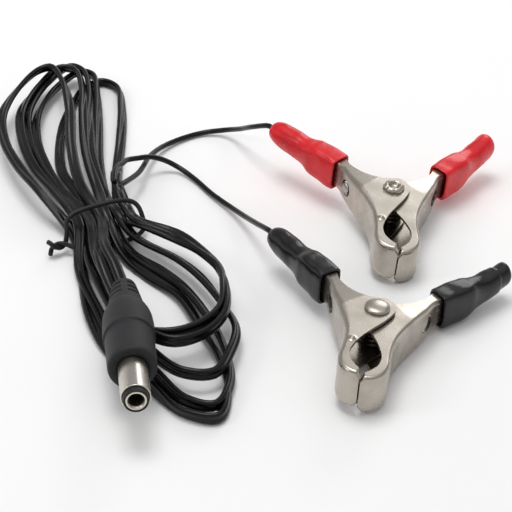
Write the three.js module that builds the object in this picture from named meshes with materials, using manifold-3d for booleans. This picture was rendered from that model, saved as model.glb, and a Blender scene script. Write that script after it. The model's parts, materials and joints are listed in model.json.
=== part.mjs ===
// Low-voltage battery lead: a DC barrel plug, a thin twin cord folded into a tied hank, and two spring
// clamps. Millimetres, +Z up, standing on Z = 0, origin under the middle of the two clamps.
import * as THREE from 'three';
import { mergeVertices } from 'three/addons/utils/BufferGeometryUtils.js';
import Module from 'manifold-3d';

const wasm = await Module();
wasm.setup();

// ---- driving dimensions -------------------------------------------------------------------------
const clampHeight = 9.2;          // over both pairs of ears at the pivot
const sheet = 0.6;                // steel sheet
const earGap = 0.3;               // between an ear and the ear it slides on
const noseReach = 20.5;           // pivot to the front of the nose
const noseRadius = 4.85;          // outside of the rounded nose, seen from above
const seamGap = 0.15;             // each half of the nose stops this far from the middle
const handleAngle = 44.4;         // degrees between a handle and the line of the nose
const handleEnd = 21.5;           // pivot to the end of the steel handle, along the handle
const handleTaper = 1.1;          // each ear closes in by this much towards the handle
const taperFrom = 6.5;            // the taper's start and end, along the handle
const taperTo = 11.6;
const wallHoleRadius = 1.85;
const rivetRadius = 1.5;
const rivetHoleRadius = 1.85;
const springWire = 0.9;
const springRadius = 2.3;         // to the middle of the wire
const sleeveMouth = 14.6;         // pivot to the open end of a sleeve, along the handle
const wireSleeveEnd = 35;         // pivot to the closed end
const plainSleeveEnd = 33.6;
const sleeveOffset = 0.75;        // the sleeve's middle, outward from the handle's line
const leadDiameter = 1.25;        // one core with its insulation
const hankHeight = 6.6;
const tieWire = 1;
const clearance = 0.3;

const plug = { tail: [-53.8, -11.7, 6.4], turn: 7, rise: 6 };
const plugBody = 30;              // strain relief's end to the front shoulder
const barrelLength = 9.5;
const barrelRadius = 2.75;
const insulatorLip = 1.2;         // the insulator stands this far out of the barrel
const reliefRibs = 3;
const reliefPitch = 2.1;

// ---- small helpers ------------------------------------------------------------------------------
const radians = THREE.MathUtils.degToRad;

function solid(geometry) {
  const plain = geometry.clone();
  plain.deleteAttribute('normal');
  plain.deleteAttribute('uv');
  const merged = mergeVertices(plain, 1e-4);
  return new wasm.Manifold(new wasm.Mesh({
    numProp: 3,
    vertProperties: new Float32Array(merged.attributes.position.array),
    triVerts: new Uint32Array(merged.index.array),
  }));
}

function geometryOf(body) {
  const mesh = body.getMesh();
  const geometry = new THREE.BufferGeometry();
  geometry.setAttribute('position', new THREE.BufferAttribute(new Float32Array(mesh.vertProperties), 3));
  geometry.setIndex(new THREE.BufferAttribute(new Uint32Array(mesh.triVerts), 1));
  return geometry;
}

function named(name, geometry, material) {
  const mesh = new THREE.Mesh(geometry, material);
  mesh.name = name;
  return mesh;
}

function extrudedUp(outline, bottom, top) {
  const geometry = new THREE.ExtrudeGeometry(new THREE.Shape(outline), {
    depth: top - bottom, bevelEnabled: false, steps: 1, curveSegments: 1,
  });
  return geometry.translate(0, 0, bottom);
}

// A round rod, its middle at the given point, its length along the given direction.
function rod(radius, length, middle, direction, sides = 24) {
  const geometry = new THREE.CylinderGeometry(radius, radius, length, sides);
  const turn = new THREE.Quaternion()
    .setFromUnitVectors(new THREE.Vector3(0, 1, 0), direction.clone().normalize());
  geometry.applyQuaternion(turn);
  return geometry.translate(middle.x, middle.y, middle.z);
}

function tube(curve, diameter, steps, sides = 8) {
  const section = new THREE.Shape();
  section.absarc(0, 0, diameter / 2, 0, 2 * Math.PI, false);
  return new THREE.ExtrudeGeometry(section, {
    extrudePath: curve, steps, curveSegments: sides / 2, bevelEnabled: false,
  });
}

// One coordinate of a superellipse, from the sine or cosine that would give a circle.
function squared(value, squareness) {
  const size = Math.abs(value) < 1e-9 ? 0 : Math.abs(value);
  return Math.sign(value) * size ** (2 / squareness);
}

function curveThrough(points) {
  return new THREE.CatmullRomCurve3(points.map((p) => new THREE.Vector3(...p)), false, 'centripetal');
}

// ---- the lever's plan ---------------------------------------------------------------------------
// Seen from above with the nose along -Y, the wire-side lever lies on the -X side. A point on the
// handle is given by its distance along the handle and its distance outward from the handle's line.
const alongHandle = new THREE.Vector2(-Math.sin(radians(handleAngle)), Math.cos(radians(handleAngle)));
const outward = new THREE.Vector2(-Math.cos(radians(handleAngle)), -Math.sin(radians(handleAngle)));

function onHandle(along, out) {
  return alongHandle.clone().multiplyScalar(along).addScaledVector(outward, out);
}

const wallHole = new THREE.Vector2(-9.55, 4.3);

// Where each clamp lies: its pivot, its turn, and how it rocks on the rivet's end and the nose, in degrees.
const redClamp = {
  pivot: [0.3, 18.8, 1.8], turn: -0.4, noseDown: 4.5, leftUp: 5, headUp: false, solder: wallHole, solderUp: 0,
};
const blackClamp = {
  pivot: [-5.3, -23.4, 1.05], turn: -12, noseDown: 0, leftUp: 3.5, headUp: true, solder: onHandle(9.2, 2.4),
  solderUp: 0.3,
};

// The outer wall from the handle's end to the middle of the nose.
function wallPath() {
  const path = new THREE.Path();
  const start = onHandle(handleEnd, 2.2);
  path.moveTo(start.x, start.y);
  const mouth = onHandle(sleeveMouth, 2.2);
  path.lineTo(mouth.x, mouth.y);
  path.splineThru([
    onHandle(12.8, 2.45), wallHole, new THREE.Vector2(-7.9, 0.4),
    new THREE.Vector2(-6.25, -3.4), new THREE.Vector2(-5.2, -6.6), new THREE.Vector2(-4.7, -10),
    new THREE.Vector2(-4.7, -13), new THREE.Vector2(-noseRadius, noseRadius - noseReach),
  ]);
  const end = 1.5 * Math.PI - Math.asin(seamGap / noseRadius);
  path.absarc(0, noseRadius - noseReach, noseRadius, Math.PI, end, false);
  return path.getPoints(2).filter((p, i, all) => i === 0 || p.distanceTo(all[i - 1]) > 0.02);
}

function offsetInward(points, distance) {
  return points.map((p, i) => {
    const before = points[Math.max(i - 1, 0)];
    const after = points[Math.min(i + 1, points.length - 1)];
    const run = after.clone().sub(before).normalize();
    return new THREE.Vector2(p.x - run.y * distance, p.y + run.x * distance);
  });
}

// The free edge of an ear: along the handle, round the pivot, then the edge of the jaw opening.
function earEdge() {
  const edge = new THREE.Path();
  const start = onHandle(handleEnd, -0.7);
  edge.moveTo(start.x, start.y);
  const mouth = onHandle(sleeveMouth, -0.7);
  edge.lineTo(mouth.x, mouth.y);
  edge.splineThru([
    new THREE.Vector2(-8.3, 8.2),
    new THREE.Vector2(-6.6, 5.9), new THREE.Vector2(-4.4, 4.2), new THREE.Vector2(-2.3, 3.4),
    new THREE.Vector2(0, 3.15), new THREE.Vector2(1.9, 3.3),
  ]);
  edge.splineThru([
    new THREE.Vector2(3.2, 1.9), new THREE.Vector2(3.5, 0), new THREE.Vector2(3.1, -1.9),
    new THREE.Vector2(1.9, -3.4),
  ]);
  edge.splineThru([
    new THREE.Vector2(-seamGap, -6.9), new THREE.Vector2(-1.2, -8.7), new THREE.Vector2(-2.2, -11),
    new THREE.Vector2(-3, -14), new THREE.Vector2(-2.5, -16.2), new THREE.Vector2(-1.3, -18),
    new THREE.Vector2(-seamGap, -19.1),
  ]);
  return edge.getPoints(2);
}

// The ears close in on each other towards the handle: the channel is cut into the stretch before the
// taper, the taper and the handle, and each is moved as a whole, so that every face stays flat.
function tapered(channel, middle) {
  const far = 60;
  const lap = 0.02;
  const stretches = [[-far, taperFrom + lap], [taperFrom, taperTo + lap], [taperTo, far]];
  const pieces = stretches.map(([from, to]) => {
    const corners = [onHandle(from, far), onHandle(to, far), onHandle(to, -far), onHandle(from, -far)];
    const piece = geometryOf(channel.intersect(solid(extrudedUp(corners, -far, far))));
    const position = piece.attributes.position;
    for (let i = 0; i < position.count; i += 1) {
      const along = position.getX(i) * alongHandle.x + position.getY(i) * alongHandle.y;
      const share = THREE.MathUtils.clamp((along - taperFrom) / (taperTo - taperFrom), 0, 1);
      const side = Math.sign(position.getZ(i) - middle);
      position.setZ(i, position.getZ(i) - side * handleTaper * share);
    }
    return solid(piece);
  });
  return pieces.reduce((a, b) => a.add(b));
}

const channelLow = sheet + earGap;
const channelMiddle = (channelLow + clampHeight) / 2;

function leverGeometry() {
  const wall = wallPath();
  const inner = offsetInward(wall, sheet);
  const edge = earEdge();
  const earOutline = [...wall, ...edge.slice().reverse()];
  const wallOutline = [...wall, ...inner.slice().reverse()];
  const pieces = [
    extrudedUp(wallOutline, channelLow, clampHeight),
    extrudedUp(earOutline, channelLow, channelLow + sheet),
    extrudedUp(earOutline, clampHeight - sheet, clampHeight),
  ];
  const channel = pieces.map(solid).reduce((a, b) => a.add(b));
  const up = new THREE.Vector3(0, 0, 1);
  const across = new THREE.Vector3(-0.9, -0.42, 0);
  const holeMiddle = new THREE.Vector3(wallHole.x, wallHole.y, channelMiddle);
  const cuts = [
    rod(rivetHoleRadius, 2 * clampHeight, new THREE.Vector3(0, 0, clampHeight / 2), up, 20),
    rod(wallHoleRadius, 4, holeMiddle, across, 16),
  ];
  return geometryOf(cuts.map(solid).reduce((a, b) => a.subtract(b), tapered(channel, channelMiddle)));
}

// Half a turn about the line of the nose: this turns the wire-side lever into the moving one.
function turnedOver(geometry) {
  const other = geometry.clone();
  return other.rotateY(Math.PI).translate(0, 0, clampHeight);
}

// ---- torsion spring -----------------------------------------------------------------------------
function springGeometry() {
  const startAngle = radians(230);
  const sweep = radians(3 * 360 + 80);
  const lowest = 2.75;
  const highest = clampHeight - lowest;
  const coilSteps = 32;
  const coil = Array.from({ length: coilSteps + 1 }, (_, i) => {
    const angle = startAngle + (sweep * i) / coilSteps;
    const height = lowest + ((highest - lowest) * i) / coilSteps;
    return [springRadius * Math.cos(angle), springRadius * Math.sin(angle), height];
  });
  const legEnd = onHandle(13, 1.15);
  const leg = [0, 0.35, 0.7].map((f) => {
    const x = THREE.MathUtils.lerp(legEnd.x, coil[0][0], f);
    const y = THREE.MathUtils.lerp(legEnd.y, coil[0][1], f);
    return [x, y, THREE.MathUtils.lerp(3.5, lowest, f)];
  });
  const otherLeg = leg.map(([x, y, z]) => [-x, y, clampHeight - z]).reverse();
  return tube(curveThrough([...leg, ...coil, ...otherLeg]), springWire, 48, 6);
}

// ---- rivet --------------------------------------------------------------------------------------
// Domed head above, tubular end clenched below.
function rivetGeometry() {
  const headRadius = 2.45;
  const clenchRadius = 2.25;
  const under = clampHeight + clearance;
  const profile = [
    [0, -0.15], [0.75, -0.2], [1.1, -0.85], [1.7, -0.95], [clenchRadius, -0.65], [2.15, -clearance],
    [rivetRadius, -clearance], [rivetRadius, under], [headRadius, under], [headRadius, under + 0.35],
    [2.2, under + 0.62], [1.3, under + 0.78], [0, under + 0.82],
  ].map(([r, z]) => new THREE.Vector2(r, z));
  return new THREE.LatheGeometry(profile, 16).rotateX(Math.PI / 2);
}

// ---- sleeves ------------------------------------------------------------------------------------
// A boot whose section goes from a rounded box at the open end to a circle at the closed end.
function sleeveGeometry(end, wireHole) {
  const stations = [
    // [distance along the handle, half width, half height, squareness]
    [sleeveMouth, 2.75, 3.85, 6], [sleeveMouth + 3, 2.7, 3.85, 6], [sleeveMouth + 7.3, 2.65, 3.85, 6],
    [sleeveMouth + 9, 2.5, 3.3, 3.5], [sleeveMouth + 12, 2.45, 3.1, 3], [end - 4, 2.4, 2.85, 2.5],
    [end - 1.6, 2.3, 2.55, 2.2], [end - 0.6, 1.9, 2.1, 2], [end, 1.25, 1.35, 2],
  ];
  const profile = [
    new THREE.Vector2(0, 0), ...stations.map((_, i) => new THREE.Vector2(1, i)),
    new THREE.Vector2(0, stations.length - 1),
  ];
  const boot = new THREE.LatheGeometry(profile, 20);
  const position = boot.attributes.position;
  for (let i = 0; i < position.count; i += 1) {
    const [along, width, height, squareness] = stations[Math.round(position.getY(i))];
    const across = -width * squared(position.getX(i), squareness);
    const up = height * squared(position.getZ(i), squareness);
    const place = onHandle(along, sleeveOffset + across);
    position.setXYZ(i, place.x, place.y, channelMiddle + up);
  }
  const outside = solid(boot);
  const halfHeight = channelMiddle - channelLow - handleTaper + clearance;
  const corners = [
    onHandle(sleeveMouth - 1, 2.55), onHandle(handleEnd + 0.5, 2.55),
    onHandle(handleEnd + 0.5, -1.05), onHandle(sleeveMouth - 1, -1.05),
  ];
  const cavity = solid(extrudedUp(corners, channelMiddle - halfHeight, channelMiddle + halfHeight));
  if (!wireHole) return geometryOf(outside.subtract(cavity));
  const from = onHandle(handleEnd, sleeveOffset);
  const to = onHandle(end + 1, sleeveOffset);
  const middle = from.clone().add(to).multiplyScalar(0.5);
  const boreMiddle = new THREE.Vector3(middle.x, middle.y, channelMiddle);
  const boreDirection = new THREE.Vector3(alongHandle.x, alongHandle.y, 0);
  const bore = rod(leadDiameter / 2 + 0.35, from.distanceTo(to), boreMiddle, boreDirection, 12);
  return geometryOf(outside.subtract(cavity).subtract(solid(bore)));
}

// ---- solder joint -------------------------------------------------------------------------------
// A drop whose flat side looks into the channel; in the red clamp it stands in the hole of the wall.
function solderGeometry(place, height) {
  const profile = [[0, -1.3], [0.9, -1.2], [1.25, -0.7], [1.3, -0.2], [0.9, 0.3], [0, 0.45]];
  const drop = new THREE.LatheGeometry(profile.map(([r, y]) => new THREE.Vector2(r, y)), 14);
  drop.rotateZ(Math.PI / 2).rotateZ(radians(25));
  return drop.translate(place.x, place.y, height);
}

// ---- one clamp ----------------------------------------------------------------------------------
function placedClamp(pose) {
  const group = new THREE.Group();
  group.position.set(...pose.pivot);
  group.rotation.set(radians(pose.noseDown), radians(pose.leftUp), radians(pose.turn), 'ZXY');
  group.updateMatrixWorld();
  return group;
}

function clampGroup(colour, pose, vinyl) {
  const group = placedClamp(pose);
  const lever = leverGeometry();
  const rivet = rivetGeometry();
  group.add(
    named(`${colour}_wire_side_lever`, lever, materials.nickel),
    named(`${colour}_moving_lever`, turnedOver(lever), materials.nickel),
    named(`${colour}_torsion_spring`, springGeometry(), materials.springSteel),
    named(`${colour}_rivet`, pose.headUp ? rivet : turnedOver(rivet), materials.nickel),
    named(`${colour}_wire_side_sleeve`, sleeveGeometry(wireSleeveEnd, true), vinyl),
    named(`${colour}_moving_sleeve`, turnedOver(sleeveGeometry(plainSleeveEnd, false)), vinyl),
    named(
      `${colour}_solder_joint`,
      solderGeometry(pose.solder, channelMiddle + pose.solderUp),
      materials.solder,
    ),
  );
  return group;
}

// The wire's way out of a clamp, in the shared frame, from beside the solder joint to past the sleeve.
function wayOutOfSleeve(pose) {
  const group = placedClamp(pose);
  const places = [
    [11.6, 1.1], [17, sleeveOffset], [22, sleeveOffset], [28, sleeveOffset], [wireSleeveEnd, sleeveOffset],
    [wireSleeveEnd + 1.2, sleeveOffset],
  ];
  return places.map(([along, out]) => {
    const place = onHandle(along, out);
    return new THREE.Vector3(place.x, place.y, channelMiddle).applyMatrix4(group.matrixWorld).toArray();
  });
}

// ---- plug ---------------------------------------------------------------------------------------
// Built along +Y from the strain relief's end, then turned to where it lies.
function lathe(profile, sides = 20) {
  return new THREE.LatheGeometry(profile.map(([r, y]) => new THREE.Vector2(r, y)), sides);
}

function plugBodyGeometry() {
  const profile = [
    [1.45, 0], [2.45, 0], [2.75, 2], [3.3, 6], [3.75, 9.2], [4.3, 10.6], [4.75, 12.8], [4.98, 16], [5, 19.8],
    [4.72, 20.1], [4.65, 29.4], [4.35, plugBody], [2.9, plugBody], [2.9, 23.4], [3.3, 23.4], [3.3, 12.5],
    [1.45, 11], [1.45, 0],
  ];
  let body = solid(lathe(profile));
  const rib = new THREE.BoxGeometry(1.1, 40, 20);
  for (let i = 0; i < reliefRibs; i += 1) {
    const from = 1.6 + reliefPitch * i;
    const radius = 2.45 + 0.13 * from;
    const ring = solid(lathe([
      [radius - 0.45, from], [radius + 2, from], [radius + 2, from + 0.8], [radius - 0.45, from + 0.8],
      [radius - 0.45, from],
    ]));
    body = body.subtract(ring.subtract(solid(rib)));
  }
  return geometryOf(body);
}

function outerContactGeometry() {
  const tip = plugBody + barrelLength;
  const tubeBody = solid(lathe([
    [2.5, 21.8], [3.05, 21.8], [3.05, 22.4], [barrelRadius, 22.4], [barrelRadius, tip - 0.25],
    [barrelRadius - 0.12, tip], [2.5, tip], [2.5, 21.8],
  ]));
  const tab = solid(new THREE.BoxGeometry(1.6, 5, 0.4).translate(0, 19.6, 2.75));
  return geometryOf(tubeBody.add(tab));
}

function insulatorGeometry() {
  const tip = plugBody + barrelLength + insulatorLip;
  return lathe([[2.05, 21], [2.4, 21], [2.4, tip - 0.4], [2.2, tip], [2.05, tip], [2.05, 21]]);
}

function innerContactGeometry() {
  const tip = plugBody + barrelLength + insulatorLip - 0.15;
  const tubeBody = solid(lathe([
    [1.3, 20], [1.95, 20], [1.95, tip], [1.45, tip], [1.3, tip - 0.4], [1.3, 20],
  ]));
  const tab = solid(new THREE.BoxGeometry(1.4, 3.4, 0.5).translate(0, 18.6, -1.65));
  return geometryOf(tubeBody.add(tab));
}

function coreGeometry(side) {
  return tube(curveThrough([
    [0.63 * side, 0.3, 0], [0.63 * side, 6, 0], [0.63 * side, 11, 0], [0.5 * side, 14, 0.5 * side],
    [0.3 * side, 16.6, 1.1 * side],
  ]), 1.15, 10);
}

function plugGroup() {
  const group = new THREE.Group();
  group.position.set(...plug.tail);
  group.rotation.set(radians(plug.rise), 0, radians(180 + plug.turn), 'ZXY');
  group.add(
    named('plug_body', plugBodyGeometry(), materials.plugVinyl),
    named('plug_outer_contact', outerContactGeometry(), materials.barrel),
    named('plug_insulator', insulatorGeometry(), materials.insulator),
    named('plug_inner_contact', innerContactGeometry(), materials.barrel),
    named('plug_core_positive', coreGeometry(-1), materials.cordVinyl),
    named('plug_core_negative', coreGeometry(1), materials.cordVinyl),
  );
  group.updateMatrixWorld();
  return group;
}

// ---- twist tie ----------------------------------------------------------------------------------
// A ring round the hank's waist, standing across it, and two short tails on its left.
const tie = { middle: [-60.8, 17.2], halfWidth: 8.3, across: 27.5, squareness: 3.2, tailApart: 0.7 };

function tieCurve() {
  const sideways = [Math.cos(radians(tie.across)), Math.sin(radians(tie.across))];
  const lowest = tieWire / 2 + 0.05;
  const highest = hankHeight + clearance + tieWire / 2;
  const from = 185;
  const to = -140;
  const steps = 26;
  const ring = Array.from({ length: steps + 1 }, (_, i) => {
    const angle = radians(from + ((to - from) * i) / steps);
    const lateral = tie.halfWidth * squared(Math.cos(angle), tie.squareness);
    const forward = THREE.MathUtils.lerp(-tie.tailApart, tie.tailApart, i / steps);
    return [
      tie.middle[0] + lateral * sideways[0] + forward * sideways[1],
      tie.middle[1] + lateral * sideways[1] - forward * sideways[0],
      (lowest + highest) / 2 + ((highest - lowest) / 2) * squared(Math.sin(angle), tie.squareness),
    ];
  });
  const upperTail = [[-71.1, 13.7, 2.5], [-69.8, 13.6, 2.7]];
  const lowerTail = [[-69, 11.4, 1.4], [-69.4, 10.1, 1.5]];
  return curveThrough([...upperTail, ...ring, ...lowerTail]);
}

// ---- hank ---------------------------------------------------------------------------------------
// The twin cord's folded length as one flat body; the plug lies in its top and the tie goes round it.
function hankGeometry(plugWorld) {
  const around = [
    [-66.2, 11.4], [-73.8, 22.8], [-83.8, 38.8], [-85.8, 53.8], [-81.8, 67.8], [-73.8, 78.8], [-65.8, 79.8],
    [-59.8, 71.8], [-58.4, 56.8], [-58.4, 36.8], [-57, 28.8], [-55.4, 22.8], [-50.8, 14.3], [-41.8, 9.8],
    [-34.3, 0.8], [-31.3, -13.2], [-29.8, -25.2], [-30.3, -40.2], [-33.8, -46.7], [-40.8, -45.2],
    [-46.8, -38.2], [-49.8, -32.2], [-55.8, -26.2], [-59.8, -13.2], [-63, -1.2],
  ];
  const outlinePoints = around.map(([x, y]) => new THREE.Vector3(x, y, 0));
  const outline = new THREE.CatmullRomCurve3(outlinePoints, true, 'centripetal');
  const points = outline.getPoints(2 * around.length).slice(0, -1).map((p) => new THREE.Vector2(p.x, p.y));
  const body = solid(extrudedUp(points, 0, hankHeight));
  const room = [
    [0, -clearance], [2.8, -clearance], [3.1, 2], [3.65, 6], [4.1, 9.2],
    [4.65, 10.6], [5.1, 12.8], [5.33, 16], [5.35, 20], [5, 29.6],
    [4.7, plugBody + clearance], [0, plugBody + clearance],
  ];
  const trough = lathe(room).applyMatrix4(plugWorld);
  const tieRoom = tube(tieCurve(), tieWire + 2 * clearance, 40);
  return geometryOf(body.subtract(solid(trough)).subtract(solid(tieRoom)));
}

// ---- leads --------------------------------------------------------------------------------------
// Each lead leaves the hank's right side, comes down to the floor and rises into its clamp's sleeve.
const redRoute = [
  [-55.7, 28.9, 5.9], [-54.6, 31.8, 5.1], [-53.6, 34.8, 4.4], [-52.9, 38.1, 3.8], [-51.7, 45, 2.5],
  [-48.7, 51.6, 1.3], [-43.7, 56.4, 0.8], [-39.7, 58.2, 0.9], [-35, 57.6, 1.9], [-31.5, 53.5, 4.6],
  [-28.5, 47.9, 8.4],
];
const blackRoute = [
  [-57.1, 35, 6.6], [-56.3, 37.3, 6.1], [-54.2, 39.2, 5.4], [-51.4, 41.1, 4.6], [-48.6, 42.2, 3.2],
  [-45.3, 41.7, 1.6], [-41.6, 38.1, 0.8], [-37.5, 31.7, 0.8], [-33, 24.8, 1.6], [-29.9, 18.4, 3.4],
  [-27.8, 13.1, 5.4],
];

function leadGeometry(route, pose, steps) {
  return tube(curveThrough([...route, ...wayOutOfSleeve(pose).reverse()]), leadDiameter, steps);
}

// ---- materials ----------------------------------------------------------------------------------
function surface(color, roughness, metalness) {
  return new THREE.MeshStandardMaterial({ color, roughness, metalness });
}

const materials = {
  nickel: surface('#b9b2a7', 0.28, 1),
  springSteel: surface('#4a4642', 0.4, 1),
  barrel: surface('#cfcac2', 0.2, 1),
  solder: surface('#9c9a96', 0.45, 1),
  redVinyl: surface('#dc3a40', 0.38, 0),
  blackVinyl: surface('#333333', 0.4, 0),
  plugVinyl: surface('#3c3c3e', 0.6, 0),
  cordVinyl: surface('#262525', 0.5, 0),
  insulator: surface('#1c1b1a', 0.5, 0),
  tieVinyl: surface('#202020', 0.5, 0),
};

// ---- assembly -----------------------------------------------------------------------------------
const root = new THREE.Group();
const plugParts = plugGroup();
root.add(
  clampGroup('red', redClamp, materials.redVinyl),
  clampGroup('black', blackClamp, materials.blackVinyl),
  plugParts,
  named('cord_hank', hankGeometry(plugParts.matrixWorld), materials.cordVinyl),
  named('red_lead', leadGeometry(redRoute, redClamp, 40), materials.cordVinyl),
  named('black_lead', leadGeometry(blackRoute, blackClamp, 38), materials.cordVinyl),
  named('hank_tie', tube(tieCurve(), tieWire, 40), materials.tieVinyl),
);

export default root;
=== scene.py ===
# A battery lead: a barrel plug, a thin twin cord in a tied hank, and two spring clamps in vinyl sleeves.
import json
import math
import bmesh
import bpy
import numpy as np
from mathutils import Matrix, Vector


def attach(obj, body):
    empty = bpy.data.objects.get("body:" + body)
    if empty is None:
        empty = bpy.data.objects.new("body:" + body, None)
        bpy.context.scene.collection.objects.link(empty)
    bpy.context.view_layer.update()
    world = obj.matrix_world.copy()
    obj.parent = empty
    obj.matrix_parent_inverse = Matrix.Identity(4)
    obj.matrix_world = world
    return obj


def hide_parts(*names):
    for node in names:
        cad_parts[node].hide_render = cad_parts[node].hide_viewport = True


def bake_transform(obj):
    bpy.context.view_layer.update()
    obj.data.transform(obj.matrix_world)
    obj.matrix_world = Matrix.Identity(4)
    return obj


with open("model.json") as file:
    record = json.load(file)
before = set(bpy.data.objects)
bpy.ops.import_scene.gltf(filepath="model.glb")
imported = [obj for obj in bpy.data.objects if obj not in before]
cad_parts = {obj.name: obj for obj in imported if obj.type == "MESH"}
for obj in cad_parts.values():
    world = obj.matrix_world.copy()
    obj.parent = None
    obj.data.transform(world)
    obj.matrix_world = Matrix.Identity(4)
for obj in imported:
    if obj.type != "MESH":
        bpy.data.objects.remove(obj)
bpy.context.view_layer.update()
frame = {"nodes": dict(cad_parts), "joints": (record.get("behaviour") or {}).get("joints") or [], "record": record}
mm = 0.001
joints = {joint["name"]: joint for joint in frame["joints"]}
mounts = {mount["name"]: mount for mount in frame["record"]["mounts"]}
print("frame loaded,", len(frame["nodes"]), "parts")


cameraSetup = {
    # millimetres, degrees above the floor
    "target": (-27.8, 8.8, 0), "distance": 355, "elevation": 34.5, "lens": 119.53, "sensor": 36, "near": 0.01,
}


def placeCamera(setup):
    # the camera stands back from its target along a line tilted up by the elevation
    lens = bpy.data.cameras.new("camera")
    lens.lens = setup["lens"]
    lens.sensor_width = setup["sensor"]
    lens.clip_start = setup["near"]
    holder = bpy.data.objects.new("camera", lens)
    tilt = math.radians(setup["elevation"])
    back = np.array([0, -math.cos(tilt), math.sin(tilt)]) * setup["distance"]
    holder.location = (np.array(setup["target"]) + back) * mm
    holder.rotation_euler = (math.pi / 2 - tilt, 0, 0)
    bpy.context.scene.collection.objects.link(holder)
    bpy.context.scene.camera = holder


placeCamera(cameraSetup)


def unit(vectors):
    # each vector over its own length
    return vectors / np.maximum(np.linalg.norm(vectors, axis=-1, keepdims=True), 1e-12)


def ease(value, low, high):
    # 0 below low, 1 above high, smooth between them
    share = np.clip((np.asarray(value, float) - low) / (high - low), 0, 1)
    return share * share * (3 - 2 * share)


def hump(value, middle, width):
    # 1 at the middle, falling to 0 over the width on both sides
    return np.exp(-((np.asarray(value, float) - middle) / width) ** 2)


def smoothLine(points, count):
    # a Catmull-Rom curve through the points, by centripetal steps, sampled evenly in its own parameter
    points = np.asarray(points, float)
    points = np.vstack([2 * points[:1] - points[1:2], points, 2 * points[-1:] - points[-2:-1]])
    gaps = np.maximum(np.linalg.norm(np.diff(points, axis=0), axis=1), 1e-9) ** 0.5
    knots = np.concatenate([[0], np.cumsum(gaps)])
    spans = len(points) - 3
    place = np.linspace(0, spans, count)
    span = np.minimum(place.astype(int), spans - 1)
    share = place - span
    k0, k1, k2, k3 = (knots[span + i][:, None] for i in range(4))
    p0, p1, p2, p3 = (points[span + i] for i in range(4))
    t = k1 + (k2 - k1) * share[:, None]
    a1 = ((k1 - t) * p0 + (t - k0) * p1) / (k1 - k0)
    a2 = ((k2 - t) * p1 + (t - k1) * p2) / (k2 - k1)
    a3 = ((k3 - t) * p2 + (t - k2) * p3) / (k3 - k2)
    b1 = ((k2 - t) * a1 + (t - k0) * a2) / (k2 - k0)
    b2 = ((k3 - t) * a2 + (t - k1) * a3) / (k3 - k1)
    return ((k2 - t) * b1 + (t - k1) * b2) / (k2 - k1)


def evenly(line, step):
    # the same line with its points a step apart
    line = np.asarray(line, float)
    along = np.concatenate([[0], np.cumsum(np.linalg.norm(np.diff(line, axis=0), axis=1))])
    places = np.linspace(0, along[-1], max(2, int(round(along[-1] / step)) + 1))
    return np.stack([np.interp(places, along, line[:, k]) for k in range(line.shape[1])], axis=1), places


def gridFaces(rows, columns, wrapRows, wrapColumns):
    # one face between each place of the grid and the next row and column, wrapping where asked
    lastRow, lastColumn = rows - (not wrapRows), columns - (not wrapColumns)
    row, column = np.meshgrid(np.arange(lastRow), np.arange(lastColumn), indexing="ij")
    here, beside = row * columns, (row + 1) % rows * columns
    after = (column + 1) % columns
    return np.stack([here + column, here + after, beside + after, beside + column], axis=-1).reshape(-1, 4)


def surface(name, points, wrapRows=False, wrapColumns=False, capped=False, outward=True):
    # a grid of points made a mesh; capped closes the first and the last row with a middle point
    rows, columns = points.shape[:2]
    vertices = points.reshape(-1, 3)
    faces = gridFaces(rows, columns, wrapRows, wrapColumns).tolist()
    if capped:
        middles = np.array([points[0].mean(axis=0), points[-1].mean(axis=0)])
        first, last = len(vertices), len(vertices) + 1
        vertices = np.vstack([vertices, middles])
        end = (rows - 1) * columns
        turn = np.arange(columns)
        after = (turn + 1) % columns
        faces += np.stack([np.full(columns, first), after, turn], axis=1).tolist()
        faces += np.stack([np.full(columns, last), end + turn, end + after], axis=1).tolist()
    mesh = bpy.data.meshes.new(name)
    mesh.from_pydata(vertices.tolist(), [], faces)
    if outward:
        faceOutwards(mesh)
    mesh.shade_smooth()
    piece = bpy.data.objects.new(name, mesh)
    bpy.context.scene.collection.objects.link(piece)
    return piece


def faceOutwards(mesh):
    # doubled points are merged, then every face is turned to the outside
    work = bmesh.new()
    work.from_mesh(mesh)
    bmesh.ops.remove_doubles(work, verts=work.verts, dist=1e-7)
    bmesh.ops.recalc_face_normals(work, faces=work.faces)
    work.to_mesh(mesh)
    work.free()


def applied(piece):
    # the piece's modifiers become its mesh
    depsgraph = bpy.context.evaluated_depsgraph_get()
    mesh = bpy.data.meshes.new_from_object(piece.evaluated_get(depsgraph))
    piece.modifiers.clear()
    piece.data = mesh
    return piece


def swept(path, section, roll=None):
    # each path point plus the section's first number times a level side and its second times an up; roll
    # turns both round the path
    forward = unit(np.gradient(path, axis=0))
    side = unit(np.cross(forward, [0, 0, 1]))
    up = np.cross(side, forward)
    roll = np.zeros(len(path)) if roll is None else roll
    wide = side * np.cos(roll)[:, None] + up * np.sin(roll)[:, None]
    tall = up * np.cos(roll)[:, None] - side * np.sin(roll)[:, None]
    across = section[None, :, 0, None] * wide[:, None] + section[None, :, 1, None] * tall[:, None]
    return path[:, None] + across


def carried(path, section, first):
    # the section carried along a path that also climbs: each ring's axes are the last ones, least turned
    forward = unit(np.gradient(path, axis=0))
    sides = np.empty_like(path)
    side = np.asarray(first, float)
    for i, direction in enumerate(forward):
        side = unit(side - direction * (side @ direction))
        sides[i] = side
    ups = np.cross(forward, sides)
    across = section[None, :, 0, None] * sides[:, None] + section[None, :, 1, None] * ups[:, None]
    return path[:, None] + across


def circle(radius, sides):
    # points at equal turns round the middle
    angle = np.arange(sides) * 2 * math.pi / sides
    return np.stack([np.cos(angle), np.sin(angle)], axis=1) * radius


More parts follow.
